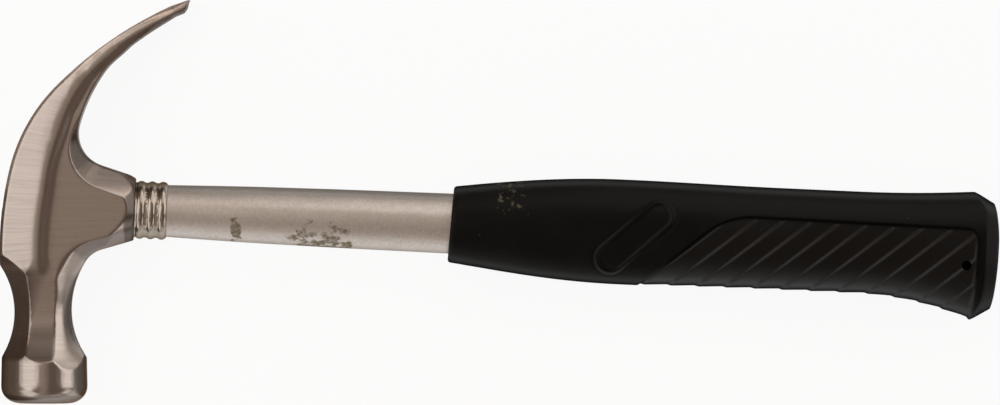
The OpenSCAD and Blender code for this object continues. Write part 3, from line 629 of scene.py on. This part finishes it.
# each ring: place, half heights up and down, half width, hang, lean and how square it is
ringTable = [(gripShape["boreEnd"], *[gripShape["boreRadius"]] * 3, 0, 0, 1),
             (gripShape["start"], *[gripShape["boreRadius"]] * 3, 0, gripShape["mouthLean"], 1)]
for step in np.linspace(0, 1, gripShape["mouthRings"]):
    u = gripShape["start"] + gripShape["mouthRound"] * (1 - math.cos(math.pi / 2 * step))
    up, down, wide, _ = gripRing(np.array(u))
    less = gripShape["mouthRound"] * (1 - math.sin(math.pi / 2 * step))
    ringTable.append((u, up - less, down - less, wide - less, 0, gripShape["mouthLean"], gripShape["power"]))
bodyPlaces = np.linspace(gripShape["start"] + gripShape["bodyFrom"], rimAt - gripShape["bodyTo"], gripShape["bodyRings"])
bevelPlaces = np.linspace(rimAt - gripShape["bevelFrom"], domeFrom, gripShape["bevelRings"])
for u in np.concatenate([bodyPlaces, bevelPlaces]):
    lean = gripShape["mouthLean"] * (1 - ramp(u, gripShape["start"], gripShape["start"] + gripShape["leanLong"]))
    ringTable.append((u, *gripRing(u), lean, gripShape["power"]))
up, down, wide, back = gripRing(np.array(domeFrom))
for step in np.linspace(0, gripShape["domeTurn"], gripShape["domeRings"])[1:]:
    out = math.cos(math.radians(step))
    u = gripEnd - gripShape["dome"] * out ** 2
    ringTable.append((u, up * out, down * out, wide * out, back * out ** 2, 0, gripShape["power"]))
ringTable = np.array(ringTable, float)

clearPick()
bpy.ops.mesh.primitive_grid_add(x_subdivisions=len(ringTable) - 1, y_subdivisions=gripShape["around"], size=1)
gripSleeve = bpy.context.object
gripSleeve.name = gripSleeve.data.name = "gripSleeve"
flat = readPoints(gripSleeve) * mm
ringIndex = np.rint((flat[:, 0] + 0.5) * (len(ringTable) - 1)).astype(int)
turns = (flat[:, 1] + 0.5) * 2 * math.pi
u, up, down, wide, back, lean, power = ringTable[ringIndex].T
across = np.sign(np.cos(turns)) * np.abs(np.cos(turns)) ** power
upright = np.sign(np.sin(turns)) * np.abs(np.sin(turns)) ** power
height = upright * np.where(upright > 0, up, down)
along = u + lean * height - back * upright ** gripShape["backPower"]
writePoints(gripSleeve, np.stack([along, height, across * wide], 1))
bpy.ops.object.mode_set(mode="EDIT")
bpy.ops.mesh.select_all(action="SELECT")
bpy.ops.mesh.remove_doubles(threshold=gripShape["weldGap"] * mm)
bpy.ops.mesh.fill_holes(sides=0)
bpy.ops.mesh.normals_make_consistent(inside=False)
bpy.ops.object.mode_set(mode="OBJECT")
print("grip blank", len(gripSleeve.data.polygons))


def lozengeDepth(u, v):  # distance inside the lozenge's outer edge
    turn = math.radians(lozenge["angle"])
    du, dv = u - lozenge["at"][0], v - lozenge["at"][1]
    along = du * math.cos(turn) + dv * math.sin(turn)
    aside = dv * math.cos(turn) - du * math.sin(turn)
    return lozenge["radius"] - np.hypot(np.maximum(np.abs(along) - lozenge["straight"], 0), aside)


def lozengeShape(depth):
    bead = lozenge["bead"] * np.exp(-((depth - lozenge["beadAt"]) / (lozenge["beadWide"] / 2)) ** 2)
    floor = lozenge["floor"] * ease(ramp(depth, lozenge["beadAt"], lozenge["beadAt"] + lozenge["floorRun"]))
    groove = lozenge["groove"] * np.exp(-((depth + lozenge["grooveAt"]) / lozenge["grooveWide"]) ** 2)
    return bead + floor + groove


ribSine = 1 / math.hypot(1, ribPanel["run"])


def roundedMeet(first, second, radius):
    both = (first < radius) & (second < radius)
    rounded = radius - np.hypot(np.maximum(radius - first, 0), np.maximum(radius - second, 0))
    return np.where(both, rounded, np.minimum(first, second))


def panelEdges(u, v):
    left = (u - ribPanel["first"] - v * ribPanel["run"]) * ribSine - ribPanel["left"]
    high, low = ribPanel["top"]
    top = high + (low - high) * ramp(u, *ribPanel["topSpan"]) - v
    return left, top, ribPanel["right"] - ribPanel["rightBow"] * v ** 2 - u


def panelDepth(u, v):  # distance inside the ribbed panel's edge
    left, top, right = panelEdges(u, v)
    return np.minimum(roundedMeet(left, top, ribPanel["corners"][0]), roundedMeet(right, top, ribPanel["corners"][1]))


def panelShape(u, v):  # each rib rises steeply and falls away to the next
    lineAt = u - ribPanel["first"] - v * ribPanel["run"]
    ribs = np.full_like(u, -ribPanel["depth"])
    for k in range(ribPanel["count"]):
        place = ribPanel["pitch"][0] * k + ribPanel["pitch"][1] * k * k
        reach = (ribPanel["pitch"][0] + ribPanel["pitch"][1] * (2 * k + 1)) * ribSine
        past = (lineAt - place) * ribSine + ribPanel["riser"] / 2
        rise = ease(ramp(past, 0, ribPanel["riser"]))
        fall = ramp(past, ribPanel["riser"] * ribPanel["fallFrom"], reach)
        ribs = np.where(past > 0, -ribPanel["depth"] * (1 - rise + fall * (rise > 0.9)), ribs)
    edge = np.minimum(*panelEdges(u, v)[1:])
    wall = ease(ramp(panelDepth(u, v), *ribPanel["inner"]))
    lower = 1 - ribPanel["lowFade"] * ramp(v, *ribPanel["lowSpan"])
    return (ribs * ease(ramp(edge, *ribPanel["fade"])) * lower + ribPanel["crest"]) * wall


# finer faces under the lozenge and the panel, set back on the smooth body and then raised or sunk
u, v, z = faceCentres(gripSleeve).T
detailed = (lozengeDepth(u, v) > relief["lozengeRoom"]) | (panelDepth(u, v) > relief["panelRoom"])
outer = (np.hypot(v, z) > relief["outside"]) & (u < rimAt - relief["cutTo"])
pickFaces(gripSleeve, outer & detailed)
bpy.ops.mesh.subdivide(number_cuts=relief["cuts"])
clearPick()
print("grip fine", len(gripSleeve.data.polygons))
u, v, z = readPoints(gripSleeve).T
ringPlace = u.copy()
for repeat in range(4):
    up, down, wide, back = gripRing(ringPlace)
    ringPlace = u + back * (np.abs(v) / np.where(v > 0, up, down)) ** gripShape["backPower"]
up, down, wide, back = gripRing(ringPlace)
tall = np.where(v > 0, up, down)
bend = 2 / gripShape["power"]
level = (np.abs(v) / tall) ** bend + (np.abs(z) / wide) ** bend
fadeFrom, fadeTo = [rimAt - before for before in relief["fade"]]
skin = (np.hypot(v, z) > relief["outside"]) & (u > gripShape["start"] + relief["from"]) & (ringPlace < fadeTo)
refit = np.where(skin, np.maximum(level, 1e-6) ** (-1 / bend), 1.0)
v, z = v * refit, z * refit
outward = np.stack([np.sign(v) * np.abs(v / tall) ** (bend - 1) / tall,
                    np.sign(z) * np.abs(z / wide) ** (bend - 1) / wide])
outward /= np.maximum(np.hypot(*outward), 1e-9)
raised = np.where(skin, panelShape(u, v) + lozengeShape(lozengeDepth(u, v)), 0)
raised = raised * (1 - ramp(ringPlace, fadeFrom, fadeTo))
writePoints(gripSleeve, np.stack([u, v + outward[0] * raised, z + outward[1] * raised], 1))

# the cord hole goes right through the butt
clearPick()
bpy.ops.mesh.primitive_cylinder_add(vertices=cordHole["sides"], radius=cordHole["radius"] * mm,
                                    depth=cordHole["long"] * mm,
                                    location=(cordHole["at"][0] * mm, cordHole["at"][1] * mm, 0))
drill = bpy.context.object
pickFaces(gripSleeve, np.ones(len(gripSleeve.data.polygons), bool))
bpy.ops.mesh.quads_convert_to_tris()
applyModifier(gripSleeve, "BOOLEAN", operation="DIFFERENCE", object=drill, solver="EXACT")
bpy.data.objects.remove(drill)
smoothShade(gripSleeve, gripShape["smoothAngle"])


def addMask(piece, name, values):
    piece.data.attributes.new(name, "FLOAT", "POINT").data.foreach_set("value", values.astype(np.float32))


u, v, z = readPoints(gripSleeve).T
depth = panelDepth(u, v)
addMask(gripSleeve, "panelMask", ramp(depth, *ribPanel["maskSpan"]) * (np.hypot(v, z) > relief["maskOutside"]))
addMask(gripSleeve, "seamMask",
        np.exp(-((depth - ribPanel["seamAt"]) / ribPanel["seamWide"]) ** 2) * ramp(v, *ribPanel["seamFrom"]))
gripSleeve.matrix_world = (Matrix.Translation((0, handleAxis["height"] * mm, 0))
                           @ Matrix.Rotation(-math.radians(handleAxis["rake"]), 4, "Z"))
pick(gripSleeve)
bpy.ops.object.transform_apply(location=True, rotation=True, scale=True)
finishPiece(gripSleeve, gripRubber, "grip_rubber", "grip_sleeve")

# stage: white floor that keeps the shadow, with a painted shadow, a dark spot of floor colour, where it shows through
# the cord hole
floorLook = {"size": 8, "white": 0.92, "paper": (0.9, 0.9, 0.9, 1), "dark": (0.02, 0.018, 0.016, 1),
             "shadowSpot": (304.2, 45.6), "shadowSpotSpan": (5, 7)}
clearPick()
bpy.ops.mesh.primitive_plane_add(size=floorLook["size"], location=(0, 0, floorZ))
floor = bpy.context.object
floor.name = "floor"
paper = bpy.data.materials.new("paper")
paper.use_nodes = True
tree = paper.node_tree
tree.nodes.clear()
path = addNode(tree, "LightPath").outputs
seen = anyOf(tree, path["Is Camera Ray"], path["Is Glossy Ray"], path["Is Transmission Ray"])
where = addNode(tree, "TexCoord").outputs["Object"]
gap = addNode(tree, "VectorMath", {0: where, 1: (*[side * mm for side in floorLook["shadowSpot"]], 0)},
              operation="DISTANCE").outputs["Value"]
# painted shadow: the floor turns dark and stops glowing in a spot under the cord hole
unshadowed = addRange(tree, gap, *[reach * mm for reach in floorLook["shadowSpotSpan"]])
plain = addNode(tree, "BsdfDiffuse", {"Color": mixColour(tree, unshadowed, floorLook["dark"], floorLook["paper"])})
glow = addNode(tree, "Emission", {"Strength": 1.0})
share = allOf(tree, seen, floorLook["white"], unshadowed)
blend = addNode(tree, "MixShader", {0: share, 1: plain.outputs[0], 2: glow.outputs[0]})
addNode(tree, "OutputMaterial", {"Surface": blend.outputs[0]})
floor.data.materials.append(paper)

# lamps: broad panels on the left, a box to the right, a narrow strip overhead, and smaller ones low round the picture
white, warm = (1, 0.985, 0.965), (1, 0.85, 0.745)
lamps = [
    {"name": "leftPanel", "at": (-1.908, 0.255, 1.6), "facing": (-1.908, 0.255, 0), "side": (0.5, 0.866, 0), "wide": 2.15,
     "high": 2.7, "level": 1.36, "tint": white},
    {"name": "tipPanel", "at": (-1.437, 1.571, 1.6), "facing": (-1.437, 1.571, 0), "side": (0.5, 0.866, 0), "wide": 0.9,
     "high": 2.2, "level": 1.6, "tint": warm},
    {"name": "leftLow", "at": (-2.0, -2.3, 1.2), "facing": (-0.6, -0.6, 0), "side": (1, -1, 0), "wide": 2.6,
     "high": 2.2, "level": 1.1, "tint": white},
    {"name": "rightBox", "at": (2.09, 0.63, 0.95), "facing": (0, 0.03, 0), "side": (-0.3, 1, 0), "wide": 2.3,
     "high": 1.56, "level": 1.4, "tint": white},
    {"name": "rightLow", "at": (1.62, -1.05, 0.52), "facing": (0, 0.02, 0), "side": (0.55, 0.83, 0), "wide": 0.95,
     "high": 0.62, "level": 1.2, "tint": white},
    {"name": "farBox", "at": (0.99, 1.78, 0.25), "facing": (0, 0.06, 0), "side": (-0.87, 0.5, 0), "wide": 1.6,
     "high": 0.62, "level": 0.75, "tint": warm},
    {"name": "overStrip", "at": (-0.045, 0.06, 1.2), "facing": (-0.045, 0.06, 0), "side": (1, 0, 0), "wide": 0.5,
     "high": 4.6, "level": 0.265, "tint": warm},
    {"name": "cornerBox", "at": (0.37, 0.74, 0.46), "facing": (0.12, 0.06, 0), "side": (1, -0.25, 0), "wide": 0.6,
     "high": 0.74, "level": 1.07, "tint": white},
    {"name": "lowBox", "at": (0.1, -2.25, 0.52), "facing": (0.1, 0.06, 0), "side": (1, 0, 0), "wide": 3.0,
     "high": 0.8, "level": 0.6, "tint": white},
]


def addLamp(name, at, facing, side, wide, high, level, tint):
    light = bpy.data.lights.new(name, "AREA")
    light.shape = "RECTANGLE"
    light.size, light.size_y = wide, high
    light.energy = level * math.pi * wide * high
    light.color = tint
    lamp = bpy.data.objects.new(name, light)
    back = (Vector(at) - Vector(facing)).normalized()
    across = (Vector(side) - back * Vector(side).dot(back)).normalized()
    lamp.matrix_world = Matrix.Translation(at) @ Matrix((across, back.cross(across), back)).transposed().to_4x4()
    lamp.visible_camera = False
    bpy.context.scene.collection.objects.link(lamp)


for lamp in lamps:
    addLamp(**lamp)

# dark cards just outside the picture give the metal its dark edges
roomLook = {"card": (0.22, 0.175, 0.14, 1), "cardRough": 1, "walls": (0.186, 0.14, 0.112, 1)}
cards = [
    {"name": "leftCard", "low": (-0.90, -0.30, 0.0), "high": (-0.30, 0.40, 0.12)},
    {"name": "leftMat", "low": (-0.30, -0.30, 0.0), "high": (-0.0165, 0.40, 0.0005)},
    {"name": "topMat", "low": (-0.0165, 0.137, 0.0), "high": (0.50, 0.60, 0.0005)},
]
darkCard = bpy.data.materials.new("darkCard")
darkCard.use_nodes = True
shader = darkCard.node_tree.nodes["Principled BSDF"]
shader.inputs["Base Color"].default_value = roomLook["card"]
shader.inputs["Roughness"].default_value = roomLook["cardRough"]
for card in cards:
    clearPick()
    bpy.ops.mesh.primitive_cube_add(size=1)
    flag = bpy.context.object
    flag.name = card["name"]
    low, high = Vector(card["low"]), Vector(card["high"])
    flag.scale = high - low
    flag.location = (low + high) / 2 + Vector((0, 0, floorZ))
    bpy.ops.object.transform_apply(location=True, scale=True)
    flag.data.materials.append(darkCard)
    flag.visible_camera = flag.visible_diffuse = flag.visible_shadow = False

world = bpy.data.worlds.new("studio")
bpy.context.scene.world = world
world.use_nodes = True
background = world.node_tree.nodes["Background"]
background.inputs["Color"].default_value = roomLook["walls"]
background.inputs["Strength"].default_value = 1
print("stage set")
